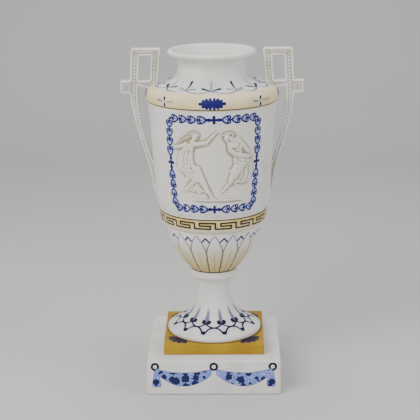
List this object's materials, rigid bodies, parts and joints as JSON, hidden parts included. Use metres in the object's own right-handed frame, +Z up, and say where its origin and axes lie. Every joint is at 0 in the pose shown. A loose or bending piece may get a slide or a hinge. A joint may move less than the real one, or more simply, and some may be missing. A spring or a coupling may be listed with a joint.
{
  "type": "vase",
  "caption": "Slender two-handled bisque vase with relief dancers in a painted frame, key band, leaf bowl, trumpet foot and yellow slab on a white square plinth.",
  "frame": {"origin": "middle of the plinth's underside, on the surface that the vase stands on", "axes": "+Z up along the vase's axis, +X from handle to handle, the decorated front faces -Y"},
  "size_m": [0.1922, 0.142, 0.36],
  "materials": {
    "vase_bisque": "unglazed matte bisque, cream white, with painted blue frame and sprigs, ochre yellow bands and slab, brown key pattern and ochre tint in the carving",
    "plinth_bisque": "matte white bisque with pale blue painted swags and dark rings on the front"
  },
  "bodies": {
    "root": {"vase": "vase_bisque", "plinth": "plinth_bisque"}
  },
  "joints": []
}
